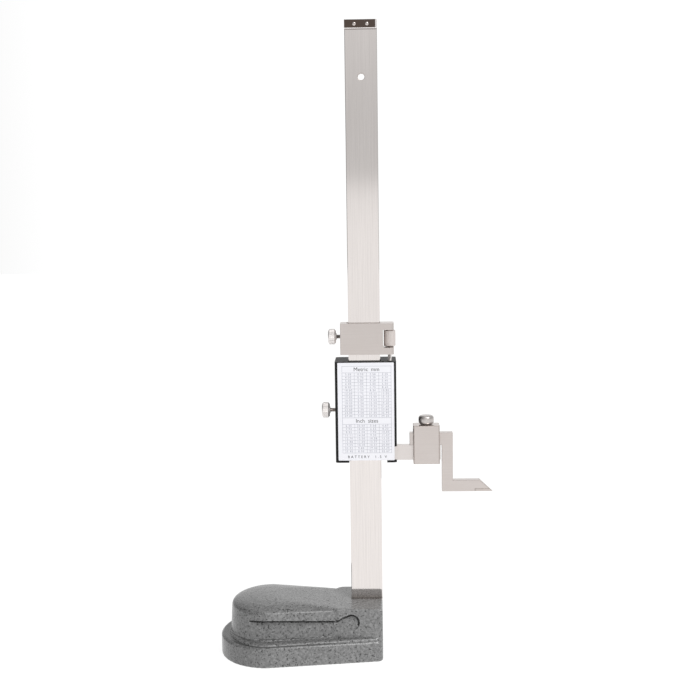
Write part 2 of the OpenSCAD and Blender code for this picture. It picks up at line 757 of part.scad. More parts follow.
// The display housing: a shell with a window, button holes, a battery bay and a data port
module display_housing() {
    color("black") difference() {
        union() {
            difference() {
                translate([0, 0, head_z0]) linear_extrude(head_h) mirror([0, 1])
                    half_round_rect(head_x0, head_x1, -front_y1, -front_y0, cover_r);
                span(head_x0 + cover_wall, head_x1 - cover_wall, front_y0 - over, wall_y,
                    head_z0 + cover_wall, head_z1 - cover_wall);
            }
            bar_y(cell_d / 2 + cell_ring, cell_y0, wall_y + slice_t, window_x, cell_z);
            for (x = [head_x0 + housing_screw_in, head_x1 - housing_screw_in],
                z = [head_z0 + housing_screw_in, head_z1 - housing_screw_in])
                bar_y(housing_screw_in - run_gap, front_y0, wall_y + slice_t, x, z);
        }
        span(window_x - window_w / 2 + window_rim, window_x + window_w / 2 - window_rim, front_y0, front_y1 + over,
            window_z - window_h / 2 + window_rim, window_z + window_h / 2 - window_rim);
        span(window_x - window_w / 2, window_x + window_w / 2, front_y1 - window_t, front_y1 + over,
            window_z - window_h / 2, window_z + window_h / 2);
        for (k = [1:4]) bar_y(button_d / 2 + slide_gap, wall_y - over, front_y1 + over, button_x(k), button_z);
        bar_y(cell_d / 2 + run_gap, front_y0, front_y1 + over, window_x, cell_z);
        span(window_x - batt_w / 2, window_x + batt_w / 2, wall_y + batt_floor, front_y1 + over,
            head_z0 - over, batt_z1);
        span(head_x1 - cover_wall - over, head_x1 + over, port_y - port_w / 2, port_y + port_w / 2,
            port_z - port_h / 2, port_z + port_h / 2);
        span(head_x1 - port_t, head_x1 + over, port_y - port_w / 2 - port_lip, port_y + port_w / 2 + port_lip,
            port_z - port_h / 2 - port_lip, port_z + port_h / 2 + port_lip);
        for (x = [head_x0 + housing_screw_in, head_x1 - housing_screw_in],
            z = [head_z0 + housing_screw_in, head_z1 - housing_screw_in])
            bar_y(housing_screw_d / 2 + run_gap, front_y0 - over, wall_y - front_wall, x, z);
    }
}

module housing_screws() {
    color("dimgray") for (x = [head_x0 + housing_screw_in, head_x1 - housing_screw_in],
        z = [head_z0 + housing_screw_in, head_z1 - housing_screw_in])
        bar_y(housing_screw_d / 2, front_y0 + run_gap, wall_y - front_wall - over, x, z);
}

module display_window() {
    color("lightsteelblue") span(window_x - window_w / 2 + run_gap, window_x + window_w / 2 - run_gap,
        front_y1 - window_t, front_y1, window_z - window_h / 2 + run_gap, window_z + window_h / 2 - run_gap);
}

module lcd_panel() {
    color("darkseagreen") span(window_x - lcd_x, window_x + lcd_x, lcd_y0, lcd_y1, window_z - lcd_z, window_z + lcd_z);
}

// A plastic frame that carries the panel and guides the two contact strips
module lcd_carrier() {
    color("ivory") difference() {
        span(window_x - lcd_x, window_x + lcd_x, board_y1, lcd_y0, window_z - lcd_z, window_z + lcd_z);
        span(window_x - lcd_x + strip_h, window_x + lcd_x - strip_h, board_y1 - over, lcd_y0 + over,
            window_z - lcd_z + strip_h * 2, window_z + lcd_z - strip_h * 2);
        for (side = [-1, 1]) contact_slot(side, run_gap);
    }
}

module contact_slot(side, gap) {
    z = window_z + side * (lcd_z - strip_h);
    span(window_x - lcd_x + strip_h - gap, window_x + lcd_x - strip_h + gap, board_y1 - gap,
        lcd_y0 + gap, z - strip_h / 4 - gap, z + strip_h / 4 + gap);
}

module contact_strips() {
    color("dimgray") for (side = [-1, 1]) contact_slot(side, 0);
}

module circuit_board() {
    edge = cover_wall + housing_screw_in * 2;
    color("seagreen") {
        difference() {
            span(head_x0 + cover_wall + seat_gap, head_x1 - cover_wall - seat_gap, board_y0, board_y1,
                head_z0 + edge, head_z1 - edge);
            bar_y(dome_d / 4, board_y0 - over, board_y1 + over, window_x, button_z + button_d);
        }
        for (k = [1:4]) bar_y(dome_d / 2, board_y1, board_y1 + dome_h, button_x(k), button_z);
        span(-sensor_x + seat_gap, sensor_x - seat_gap, beam_y + seat_gap, board_y0,
            sensor_z0 + seat_gap, sensor_z1 - seat_gap);
    }
}

module battery_cell() {
    color("silver") bar_y(cell_d / 2, cell_y0, cell_y1 + batt_floor, window_x, cell_z);
}

// Two leaf springs that rise from the board to the cell's back
module battery_contacts() {
    y0 = board_y1;
    y1 = cell_y0;
    w = contact_w / 2;
    color("goldenrod") for (side = [-1, 1]) translate([0, 0, cell_z + side * contact_w * 0.7 - w])
        linear_extrude(contact_w)
            polygon([[window_x - cell_d * 0.3, y0], [window_x + cell_d * 0.3, y0],
                [window_x + cell_d * 0.3, y0 + contact_t], [window_x - cell_d * 0.2, y0 + contact_t],
                [window_x + cell_d * 0.2, y1 - contact_t], [window_x + cell_d * 0.2, y1],
                [window_x, y1], [window_x - cell_d * 0.3, y0 + contact_t]]);
}

// The sliding battery cover with its grip ribs
module battery_cover() {
    rib = cover_t / 3;
    z0 = head_z0 + slide_gap;
    color("black") difference() {
        span(window_x - batt_w / 2 + slide_gap, window_x + batt_w / 2 - slide_gap, front_y1 - cover_t, front_y1,
            z0, batt_z1 - slide_gap);
        for (k = [1:4]) span(window_x - batt_w * 0.3, window_x + batt_w * 0.3, front_y1 - rib, front_y1 + over,
            z0 + rib * 4 * k, z0 + rib * (4 * k + 2));
    }
}

// The plug that closes the data port
module port_cover() {
    g = slide_gap;
    color("black") {
        span(head_x1 - port_t + g, head_x1, port_y - port_w / 2 - port_lip + g, port_y + port_w / 2 + port_lip - g,
            port_z - port_h / 2 - port_lip + g, port_z + port_h / 2 + port_lip - g);
        span(head_x1 - cover_wall, head_x1 - port_t + g, port_y - port_w / 2 + g, port_y + port_w / 2 - g,
            port_z - port_h / 2 + g, port_z + port_h / 2 - g);
    }
}

// A push button: cap, retaining flange behind the wall and a stem that reaches the dome on the board
module button(k) {
    flange_y1 = wall_y - slide_gap;
    stem_y0 = board_y1 + dome_h + button_travel + run_gap;
    color("gainsboro") {
        bar_y(button_d / 2, flange_y1, front_y1 + button_rise, button_x(k), button_z);
        bar_y(button_d / 2 + button_flange, flange_y1 - button_flange_t, flange_y1, button_x(k), button_z);
        bar_y(button_d / 5, stem_y0, flange_y1 - button_flange_t, button_x(k), button_z);
    }
}

// The clamp: a box around arm and scriber
module scriber_clamp() {
    e = clamp_edge;
    y = clamp_t / 2;
    window_y = max(arm_t, scriber_t) / 2 + slide_gap;
    color("silver") difference() {
        translate([0, 0, clamp_z0]) linear_extrude(clamp_z1 - clamp_z0)
            polygon([[clamp_x0 + e, -y], [clamp_x1 - e, -y], [clamp_x1, e - y], [clamp_x1, y - e],
                [clamp_x1 - e, y], [clamp_x0 + e, y], [clamp_x0, y - e], [clamp_x0, e - y]]);
        span(clamp_x0 - over, clamp_x1 + over, -window_y, window_y, arm_z0 - slide_gap, clamp_window_z1);
        bar_z(clamp_screw_d / 2 + run_gap, clamp_window_z1 - over, clamp_z1 + over, clamp_x, 0);
    }
}

module clamp_pad() {
    color("goldenrod") span(clamp_x - clamp_w / 4, clamp_x + clamp_w / 4, -arm_t / 2, arm_t / 2, pad_z0, pad_z1);
}

module clamp_screw() {
    r = knob_d / 2;
    c = clamp_knob_h * 0.2;
    color("gainsboro") {
        translate([clamp_x, 0, clamp_knob_z]) rotate_extrude()
            polygon([[0, 0], [r - c * 1.4, 0], [r, c], [r, clamp_knob_h - c], [r - c, clamp_knob_h],
                [0, clamp_knob_h]]);
        bar_z(clamp_screw_d / 2, pad_z1 + run_gap, clamp_knob_z + c, clamp_x, 0);
    }
}

// The bevel that narrows the scriber's tip on the display side
module tip_bevel() {
    translate([0, 0, foot_z0 - over]) linear_extrude(foot_h + 2 * over)
        polygon([[bevel_x, scriber_t / 2], [nose_x, scriber_t / 2 - bevel_y * 2], [nose_x + over, scriber_t / 2 - bevel_y * 2],
            [nose_x + over, scriber_t], [bevel_x, scriber_t]]);
}

module scriber_side(points) {
    translate([0, scriber_t / 2, 0]) rotate([90, 0, 0]) linear_extrude(scriber_t) polygon(points);
}

module scriber() {
    color("silver") difference() {
        scriber_side([[shank_x0, scriber_z0], [leg_x0, scriber_z0], [leg_x0, foot_z0], [tip_x0, foot_z0],
            [tip_x0, tip_z1], [tip_x1, tip_z1], [foot_x1, foot_z1], [leg_x1, foot_z1], [leg_x1, scriber_z1],
            [shank_x0, scriber_z1]]);
        tip_bevel();
    }
}

module scriber_tip() {
    color("gray") difference() {
        scriber_side([[tip_x0, foot_z0], [nose_x, foot_z0], [tip_x1, tip_z1], [tip_x0, tip_z1]]);
        tip_bevel();
    }
}

base_casting();
column_beam();
column_screws();
scale_strip();
end_plate();
end_plate_screws();
carriage_body();
carriage_gib();
feed_nut();
carriage_lock_pad();
carriage_lock_screw();
head_frame();
head_gib();
gib_screws();
rear_cover();
data_plate();
feed_screw();
display_housing();
housing_screws();
display_window();
lcd_panel();
lcd_carrier();
contact_strips();
circuit_board();
battery_cell();
battery_contacts();
battery_cover();
port_cover();
button(1);  // button_1
button(2);  // button_2
button(3);  // button_3
button(4);  // button_4
head_lock_pad();
head_lock_screw();
scriber_clamp();
clamp_pad();
clamp_screw();
scriber();
scriber_tip();
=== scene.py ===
"""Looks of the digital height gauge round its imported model: finishes, threads, table, scale and display."""
import json
import math

import bmesh
import bpy
from mathutils import Matrix, Vector


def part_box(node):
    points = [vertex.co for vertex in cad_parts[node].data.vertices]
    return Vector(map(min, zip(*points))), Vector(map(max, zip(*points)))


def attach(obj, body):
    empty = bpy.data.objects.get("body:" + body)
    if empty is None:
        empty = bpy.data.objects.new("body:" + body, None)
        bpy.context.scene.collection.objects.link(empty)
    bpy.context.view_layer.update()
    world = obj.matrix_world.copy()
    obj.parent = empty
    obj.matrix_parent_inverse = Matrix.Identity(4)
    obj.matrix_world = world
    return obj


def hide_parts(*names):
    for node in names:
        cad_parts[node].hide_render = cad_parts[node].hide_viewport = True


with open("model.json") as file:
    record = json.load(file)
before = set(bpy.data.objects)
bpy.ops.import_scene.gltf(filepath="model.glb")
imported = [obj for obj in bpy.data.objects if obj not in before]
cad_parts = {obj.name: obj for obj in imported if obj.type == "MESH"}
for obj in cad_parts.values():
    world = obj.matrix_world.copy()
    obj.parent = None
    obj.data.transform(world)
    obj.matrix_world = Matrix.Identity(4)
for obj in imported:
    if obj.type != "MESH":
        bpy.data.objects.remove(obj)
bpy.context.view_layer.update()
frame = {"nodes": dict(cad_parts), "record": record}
NODES = frame["nodes"]
MM = 0.001
# The sockets of a colour mix node by their index
MIX_FACTOR, MIX_FIRST, MIX_SECOND, MIX_RESULT = 0, 6, 7, 2

# The photograph's camera, fitted to the beam's edges: place in metres, angles in degrees, sizes in pixels
CAM_PLACE = Vector((0.01164, -0.904, 0.33815))
CAM_PITCH, CAM_YAW, CAM_ROLL = 6.597, 1.424, -0.744
CAM_FOCAL_PX, FRAME_PX = 1200.0, 700.0

# The painted shade at the beam's foot, standing for the shadow and darker reflection where it meets the
# block: the block's top, how high the shade reaches, its tones from the block up
BLOCK_TOP, FOOT_SHADE_H = 40 * MM, 5 * MM
FOOT_SHADE_TONES = ((0.0, (1, 1, 1)), (0.08, (0.4, 0.37, 0.35)), (0.24, (0.75, 0.73, 0.71)),
             (0.6, (0.86, 0.85, 0.84)), (1.0, (1, 1, 1)))
# The painted shade in the crease round the bead's foot: its heights, its share across them, where it fades
# out
CREASE_LOW, CREASE_HIGH = 15.3 * MM, 16.3 * MM
CREASE_SHADE_TONES = ((0.0, (0, 0, 0)), (0.2, (1, 1, 1)), (0.7, (1, 1, 1)), (1.0, (0, 0, 0)))
CREASE_FADE = (-14 * MM, -30 * MM)
# Painted shade on the grip's left end: where it fades out from the end, and how dark it gets
LEFT_END_SHADE = (-112 * MM, -68 * MM)
LEFT_END_SHADE_TONES = ((0.0, (0.7, 0.7, 0.7)), (0.55, (0.82, 0.82, 0.82)), (1.0, (1, 1, 1)))
# The paint's mottle, its fine specks and its sparse flecks, in cells per metre
PAINT_MOTTLE, PAINT_SPECK, PAINT_FLECK = 520.0, 950.0, 560.0
# How deep the mottle and the specks stand in the paint's skin
PEEL_DEPTH, SPECK_DEPTH = 0.12 * MM, 0.08 * MM
# The plastic's grain and slow clouds, in cells per metre, and the grain's depth
PLASTIC_GRAIN, PLASTIC_CLOUD, GRAIN_DEPTH = 2600.0, 60.0, 0.06 * MM
# The steel's slow clouds, in cells per metre, and the depth of its lines
STEEL_CLOUD, LINE_DEPTH = 90.0, 0.004 * MM
# How a node's mesh is finished: the gap that is welded, the angles in degrees that are beveled and kept
# sharp, the weight of flat faces, and the bevels of plain nodes and of the worn steel ones
WELD_GAP, EDGE_ANGLE, SHARP_ANGLE, FLAT_WEIGHT = 0.01 * MM, 38, 35, 90
NODE_BEVEL, STEEL_BEVEL = 0.25 * MM, 0.35 * MM
# The gap that is closed in a piece's own mesh
MERGE_GAP = 0.001 * MM
# The casting's rounding: the size of its grain, and the passes that ease it and the pocket's seam
CAST_VOXEL, CAST_EASE, SEAM_EASE = 0.55 * MM, 3, 14
# Where the finger pocket turns from the flank to the block: its place, half width and heights
POCKET_SEAM_X, POCKET_SEAM_W, POCKET_LOW, POCKET_HIGH = -25.6 * MM, 3.5 * MM, 17 * MM, 27 * MM

# The printed table: margins on the plate, heights of its rows and letters, and the letters' spacing
TABLE_LEFT, TABLE_RIGHT, TABLE_TOP = 3.4 * MM, 2.2 * MM, 2.6 * MM
HEADER_H, ROW_H, LINE_W = 5 * MM, 2.45 * MM, 0.16 * MM
HEADER_TEXT, ROW_TEXT, FOOT_TEXT, FOOT_DROP = 2.9 * MM, 1.45 * MM, 2.0 * MM, 3.1 * MM
ROW_SPACING, FOOT_SPACING = 1.3, 1.55
# The print's thickness, and a capital's share of its font size
PRINT_T, CAP_SHARE = 0.04 * MM, 0.7
# The table's numbers: sizes with their pitches or turns per inch, and the last columns' shares of the sizes
METRIC_SIZES = (3, 4, 5, 6, 8, 10, 12, 14, 16, 18, 20, 22, 24, 27)
METRIC_PITCHES = (0.5, 0.7, 0.8, 1, 1.25, 1.5, 1.75, 2, 2, 2.5, 2.5, 2.5, 3, 3)
INCH_SIXTEENTHS = (4, 5, 6, 7, 8, 10, 12, 14, 16)
INCH_TURNS = (20, 18, 16, 14, 12, 11, 10, 9, 8)
INCH, METRIC_SHARE, INCH_SHARE = 25.4, 1.08, 1.05
# The scale's lines: width, reach for tens, fives and ones as shares of the strip, margins, and its numbers
MARK_W, MARK_REACH, MARK_MARGIN, MARK_START = 0.18 * MM, (0.5, 0.36, 0.24), 0.4 * MM, 3
MARK_TEXT, MARK_TEXT_X = 2.2 * MM, 4 * MM
# The words over the buttons: their height and how far above a button they stand
LEGEND_TEXT, LEGEND_RISE = 1.5 * MM, 1.6 * MM

# The end plate's ground chamfers: their depth and the wider one at its side
PLATE_CHAMFER, PLATE_SIDE = 0.6 * MM, 1.2 * MM

# The display's digits
DISPLAY_TEXT, DIGIT_W, DIGIT_H, DIGIT_START, UNIT_TEXT = "120.05", 3.1 * MM, 7.6 * MM, 13.8 * MM, 2 * MM
# A stroke's width and a digit's pitch as shares of the digit's width, and the gap at a stroke's ends as a
# share of the stroke's
STROKE_SHARE, DIGIT_PITCH, STROKE_GAP = 0.2, 1.5, 0.2
# Which strokes each digit lights, named clockwise from the top with g in the middle
SEGMENTS = {"0": "abcdef", "1": "bc", "2": "abged", "3": "abgcd", "4": "fgbc", "5": "afgcd", "6": "afgedc",
            "7": "abc", "8": "abcdefg", "9": "abfgcd"}
# The knobs and threads as the part's source has them
KNOB_H, CLAMP_KNOB_H, KNURL_RIBS, KNURL_DEPTH = 5.8 * MM, 6.7 * MM, 26, 0.35 * MM
SCREW_R, CLAMP_SCREW_R, PITCH, CLAMP_PITCH = 1.5 * MM, 2.5 * MM, 0.5 * MM, 0.8 * MM
# The feed nut's ribs, their depth as a share of the knobs' ribs, its chamfer's share of the radius, and the
# bore's share of the screw
NUT_RIBS, NUT_KNURL, NUT_CHAMFER, NUT_BORE = 30, 0.6, 0.1, 1.1
# The lock knobs: the chamfer's share of their height, the shoulder's step and the dish in the face; the rows
# of their collar as (share of the radius, height), and how deep it sinks
KNOB_CHAMFER, KNOB_STEP, KNOB_DISH = 0.13, 0.5 * MM, 0.5 * MM
COLLAR = ((0.45, 0), (0.45, 0.8 * MM), (0.38, 1.1 * MM))
COLLAR_SINK = 0.5 * MM
# How deep a thread cuts as a share of its pitch, and the feed screw's worn one
THREAD_DEPTH, FEED_DEPTH = 0.5, 0.3
# The clamp knob's barrel: its ends as a share of the radius, the steps from end to end, and how far the shank
# runs into it
BARREL_END, BARREL_ROWS, CLAMP_OVERLAP = 0.66, 18, 0.5 * MM
# The end plate's screws: the shank's share of the head and its length, the dome's top and rows, and the
# socket's shares of the head at its rim and floor
PLATE_SHANK, PLATE_SHANK_L, PLATE_CROWN, PLATE_DOME, PLATE_SOCKET = 0.6, 1.2 * MM, 0.45, 6, (0.42, 0.38)
# The hanging hole's broken edge, how far its sleeve stands out of the beam, and the sleeve's lip
HOLE_EDGE, SLEEVE_SKIN, SLEEVE_LIP = 0.2 * MM, 0.02 * MM, 0.01 * MM

# The room's tones as (height, tone) on the camera's side and behind the gauge, how one passes into the other,
# its tones from side to side, and its strength
FRONT_TONES = ((-0.02, 1.0), (0.017, 0.94), (0.029, 0.65), (0.09, 0.66), (0.15, 0.75), (0.7, 0.75))
BACK_TONES = ((-0.02, 0.98), (0.4, 0.98), (0.75, 0.55))
SIDE_TONES = ((-0.8, 0.3), (-0.25, 1.0), (0.3, 1.0), (0.85, 0.6))
FRONT_TO_BACK = ((-0.4, 0.0), (0.2, 1.0))
ROOM_LOW, ROOM_LIGHT = -0.2, 1.05
FLOOR_REACH, FLOOR_TONE, FLOOR_GLOW = 6.0, 0.2, 0.89
# The lamps: name, place, aim, size and power
LIGHTS = (
    ("key", (0.6, -0.95, 1.35), (0, 0, 0.1), 0.5, 11.0),
)


def make_camera():
    """A pinhole camera at the photograph's place, with its slight roll."""
    pitch, yaw, roll = (math.radians(a) for a in (CAM_PITCH, CAM_YAW, CAM_ROLL))
    level = Vector((-math.sin(yaw), math.cos(yaw), 0))
    side = Vector((math.cos(yaw), math.sin(yaw), 0))
    lift = Vector((0, 0, 1))
    ahead = level * math.cos(pitch) - lift * math.sin(pitch)
    up = lift * math.cos(pitch) + level * math.sin(pitch)
    right = side * math.cos(roll) + up * math.sin(roll)
    top = up * math.cos(roll) - side * math.sin(roll)
    data = bpy.data.cameras.new("camera")
    data.sensor_width = 36.0
    data.lens = data.sensor_width * CAM_FOCAL_PX / FRAME_PX
    data.clip_start = 0.05
    camera = bpy.data.objects.new("camera", data)
    axes = Matrix((right, top, -ahead)).transposed().to_4x4()
    camera.matrix_world = Matrix.Translation(CAM_PLACE) @ axes
    bpy.context.scene.collection.objects.link(camera)
    bpy.context.scene.camera = camera


class Shader:
    """A material's node tree with short calls for the nodes used here."""

    def __init__(self, name, **values):
        self.mat = bpy.data.materials.new(name)
        self.mat.use_nodes = True
        self.tree = self.mat.node_tree
        self.bsdf = self.tree.nodes["Principled BSDF"]
        for key, value in values.items():
            self.bsdf.inputs[key.replace("_", " ")].default_value = value
        self.coords = None

    def node(self, kind, **settings):
        made = self.tree.nodes.new(kind)
        for key, value in settings.items():
            setattr(made, key, value)
        return made

    def link(self, source, target):
        self.tree.links.new(source, target)

    def place(self, scale=(1, 1, 1)):
        """Object coordinates stretched by a scale, in cells per metre."""
        if self.coords is None:
            self.coords = self.node("ShaderNodeTexCoord")
        mapping = self.node("ShaderNodeMapping")
        mapping.inputs["Scale"].default_value = scale
        self.link(self.coords.outputs["Object"], mapping.inputs["Vector"])
        return mapping.outputs["Vector"]

    def noise(self, scale, detail=2.0, rough=0.5, stretch=(1, 1, 1)):
        made = self.node("ShaderNodeTexNoise")
        made.inputs["Scale"].default_value = scale
        made.inputs["Detail"].default_value = detail
        made.inputs["Roughness"].default_value = rough
        self.link(self.place(stretch), made.inputs["Vector"])
        return made.outputs["Fac"]

    def along(self, axis, start, end):
        """0..1 as a point goes from one place on an axis to another."""
        split = self.node("ShaderNodeSeparateXYZ")
        self.link(self.place(), split.inputs["Vector"])
        made = self.node("ShaderNodeMapRange")
        made.inputs["From Min"].default_value = start
        made.inputs["From Max"].default_value = end
        self.link(split.outputs[axis], made.inputs["Value"])
        return made.outputs["Result"]

    def ramp(self, value, stops):
        made = self.node("ShaderNodeValToRGB")
        ramp = made.color_ramp
        while len(ramp.elements) < len(stops):
            ramp.elements.new(0.5)
        for element, (at, colour) in zip(ramp.elements, stops):
            element.position = at
            element.color = (*colour, 1)
        self.link(value, made.inputs["Fac"])
        return made.outputs["Color"]

    def span(self, value, low, high):
        """Maps 0..1 to low..high."""
        made = self.node("ShaderNodeMapRange")
        made.inputs["To Min"].default_value = low
        made.inputs["To Max"].default_value = high
        self.link(value, made.inputs["Value"])
        return made.outputs["Result"]

    def mix(self, factor, first, second, blend="MIX"):
        made = self.node("ShaderNodeMix", data_type="RGBA", blend_type=blend)
        for index, value in ((MIX_FACTOR, factor), (MIX_FIRST, first), (MIX_SECOND, second)):
            socket = made.inputs[index]
            if isinstance(value, bpy.types.NodeSocket):
                self.link(value, socket)
            elif isinstance(value, (int, float)):
                socket.default_value = value
            else:
                socket.default_value = (*value, 1)
        return made.outputs[MIX_RESULT]

    def bump(self, height, strength, distance):
        made = self.node("ShaderNodeBump")
        made.inputs["Strength"].default_value = strength
        made.inputs["Distance"].default_value = distance
        self.link(height, made.inputs["Height"])
        previous = self.bsdf.inputs["Normal"].links
        if previous:
            self.link(previous[0].from_socket, made.inputs["Normal"])
        self.link(made.outputs["Normal"], self.bsdf.inputs["Normal"])

    def colour(self, socket):
        self.link(socket, self.bsdf.inputs["Base Color"])

    def roughness(self, socket):
        self.link(socket, self.bsdf.inputs["Roughness"])


def grey(value, warm=0.0):
    """A grey with its red raised by a share and its blue lowered by half of it."""
    return (value * (1 + warm), value, value * (1 - warm / 2))


def ground_metal(name, tone, rough, stretch, warm=0.03, lines=0.4, blotch=0.05, foot=None):
    """Ground steel: fine grinding lines along one axis, slow clouds, and a band of painted shade above a
    height.
    """
    s = Shader(name, Metallic=1.0)
    streak = s.noise(1.0, 3.0, 0.6, stretch)
    slow = s.noise(STEEL_CLOUD, 3.0, 0.6)
    tones = s.ramp(streak, [(0.3, grey(tone * 0.95, warm)), (0.7, grey(tone * 1.04, warm))])
    clean = s.mix(s.span(slow, 0.0, blotch * 4), tones, grey(tone * 0.9, warm * 1.5))
    if foot:
        # painted shade: a dark band just above the foot's height
        clean = s.mix(1.0, clean, s.ramp(s.along("Z", foot, foot + FOOT_SHADE_H), FOOT_SHADE_TONES), "MULTIPLY")
    s.colour(clean)
    s.roughness(s.span(streak, rough * 0.85, rough * 1.2))
    s.bump(streak, lines, LINE_DEPTH)
    return s.mat


def hammered_paint():
    """Grey hammered paint with dark specks, painted highlights on its ridges and painted shade in its
    creases, at the bead's foot and at the grip's end, and an orange-peel skin.
    """
    s = Shader("grey_paint", Metallic=0.0)
    s.bsdf.inputs["Specular IOR Level"].default_value = 0.6
    mottle = s.noise(PAINT_MOTTLE, 4.0, 0.65)
    speck = s.noise(PAINT_SPECK, 2.0, 0.6)
    base = s.ramp(mottle, [(0.32, grey(0.14)), (0.5, grey(0.2)), (0.7, grey(0.3))])
    mask = s.ramp(speck, [(0.34, grey(0.95)), (0.4, grey(0.0))])
    fleck = s.ramp(s.noise(PAINT_FLECK, 1.0, 0.5), [(0.32, grey(0.9)), (0.36, grey(0.0))])
    edges = s.node("ShaderNodeNewGeometry").outputs["Pointiness"]
    # painted highlight on convex ridges and painted shade in concave creases, from the mesh's pointiness
    ridge_highlight_crease_shade = s.ramp(edges, [(0.45, grey(0.12)), (0.49, grey(0.5)), (0.515, grey(0.5)), (0.55, grey(0.85))])
    # painted shade: the grip's left end darkened towards the end
    left_end_shade = s.ramp(s.along("X", *LEFT_END_SHADE), LEFT_END_SHADE_TONES)
    painted = s.mix(1.0, s.mix(1.0, base, ridge_highlight_crease_shade, "OVERLAY"), left_end_shade, "MULTIPLY")
    # painted shade: a dark band in the crease round the bead's foot, fading out towards the beam
    crease = s.ramp(s.along("Z", CREASE_LOW, CREASE_HIGH), CREASE_SHADE_TONES)
    fade = s.along("X", *CREASE_FADE)
    crease_shaded = s.mix(s.mix(fade, (0, 0, 0), crease), painted, grey(0.05))
    s.colour(s.mix(fleck, s.mix(mask, crease_shaded, grey(0.018)), grey(0.018)))
    s.roughness(s.span(mottle, 0.2, 0.34))
    s.bump(mottle, 0.35, PEEL_DEPTH)
    s.bump(speck, 0.3, SPECK_DEPTH)
    return s.mat


def moulded_plastic(name, tint, rough=0.45, grain=0.25, blotch=0.1, gloss=0.5):
    """Moulded plastic or print with a fine grain and slow blotches of tone."""
    s = Shader(name)
    s.bsdf.inputs["Specular IOR Level"].default_value = gloss
    fine = s.noise(PLASTIC_GRAIN, 2.0, 0.6)
    slow = s.noise(PLASTIC_CLOUD, 2.0, 0.5)
    tones = [(at, [c * share for c in tint]) for at, share in ((0.3, 1 - blotch), (0.7, 1 + blotch))]
    s.colour(s.ramp(slow, tones))
    s.roughness(s.span(fine, rough * 0.85, rough * 1.2))
    s.bump(fine, grain, GRAIN_DEPTH)
    return s.mat


def clear_pane():
    """A clear scratch-marked acrylic window."""
    s = Shader("window", IOR=1.49, Transmission_Weight=1.0)
    hair = s.noise(1.0, 2.0, 0.5, (2500, 100, 60))
    s.roughness(s.span(hair, 0.02, 0.07))
    s.bsdf.inputs["Base Color"].default_value = (0.95, 0.97, 0.96, 1)
    return s.mat


def make_materials():
    """One finish for each slot of the record and for the pieces made here."""
    along_z, along_x, even = (1800, 1800, 25), (30, 1800, 1800), (900, 900, 900)
    return {
        "grey_paint": hammered_paint(),
        "ground_steel": ground_metal("ground_steel", 0.72, 0.07, along_z, 0.06, 0.08, foot=BLOCK_TOP),
        "satin_steel": ground_metal("satin_steel", 0.565, 0.3, along_x, 0.08, 0.12, 0.16),
        "arm_steel": ground_metal("arm_steel", 0.67, 0.3, along_x, 0.06, 0.12, 0.16),
        "edge_steel": ground_metal("edge_steel", 0.4, 0.38, even, 0.14, 0.1),
        "knob_steel": ground_metal("knob_steel", 0.8, 0.5, even, 0.04, 0.1),
        "knurled_steel": ground_metal("knurled_steel", 0.7, 0.36, even, 0.08, 0.1),
        "screw_steel": ground_metal("screw_steel", 0.95, 0.4, even, 0.04, 0.1),
        # a darker steel whose tone paints the shade in a thread's grooves
        "thread_steel": ground_metal("thread_steel", 0.3, 0.4, even, 0.06, 0.1),
        "bright_steel": ground_metal("bright_steel", 0.86, 0.34, even, 0.04, 0.1),
        "polished_steel": ground_metal("polished_steel", 0.56, 0.36, even, 0.06, 0.05),
        "black_steel": ground_metal("black_steel", 0.06, 0.35, even, 0.0, 0.2),
        "dark_plate": ground_metal("dark_plate", 0.075, 0.34, along_x, 0.3, 0.2),
        "carbide": ground_metal("carbide", 0.52, 0.3, along_x, 0.1, 0.12),
        "brass": ground_metal("brass", 0.5, 0.3, even, 0.45, 0.3),
        "scale": moulded_plastic("scale", grey(0.55, 0.02), 0.35),
        "white_plate": moulded_plastic("white_plate", (0.84, 0.84, 0.88), 0.32, 0.06, 0.02),
        "black_plastic": moulded_plastic("black_plastic", grey(0.012), 0.5, gloss=0.2),
        "white_plastic": moulded_plastic("white_plastic", grey(0.7), 0.5),
        "key_plastic": moulded_plastic("key_plastic", grey(0.3), 0.45),
        "soft_black": moulded_plastic("soft_black", grey(0.03), 0.7),
        "board": moulded_plastic("board", (0.03, 0.11, 0.05), 0.4),
        "lcd": moulded_plastic("lcd", (0.4, 0.44, 0.38), 0.25, 0.05),
        "window": clear_pane(),
        "ink": moulded_plastic("ink", grey(0.012), 0.6, 0.1, gloss=0.3),
        "grey_ink": moulded_plastic("grey_ink", (0.25, 0.26, 0.32), 0.55, 0.1),
        "white_ink": moulded_plastic("white_ink", grey(0.7), 0.5, 0.1),
    }


def dress_node(name, material, bevel, edge=None):
    """Gives a node its finish, joins its split points and breaks its edges, which can have a finish too."""
    obj = NODES[name]
    obj.data.materials.clear()
    obj.data.materials.append(material)
    if edge:
        obj.data.materials.append(edge)
    weld = obj.modifiers.new("weld", "WELD")
    weld.merge_threshold = WELD_GAP
    soft = obj.modifiers.new("bevel", "BEVEL")
    soft.width = bevel
    soft.segments = 2
    soft.limit_method = "ANGLE"
    soft.angle_limit = math.radians(EDGE_ANGLE)
    soft.material = 1 if edge else -1
    for face in obj.data.polygons:
        face.use_smooth = True
    obj.data.set_sharp_from_angle(angle=math.radians(SHARP_ANGLE))
    flat = obj.modifiers.new("flat", "WEIGHTED_NORMAL")
    flat.weight = FLAT_WEIGHT
    flat.keep_sharp = True


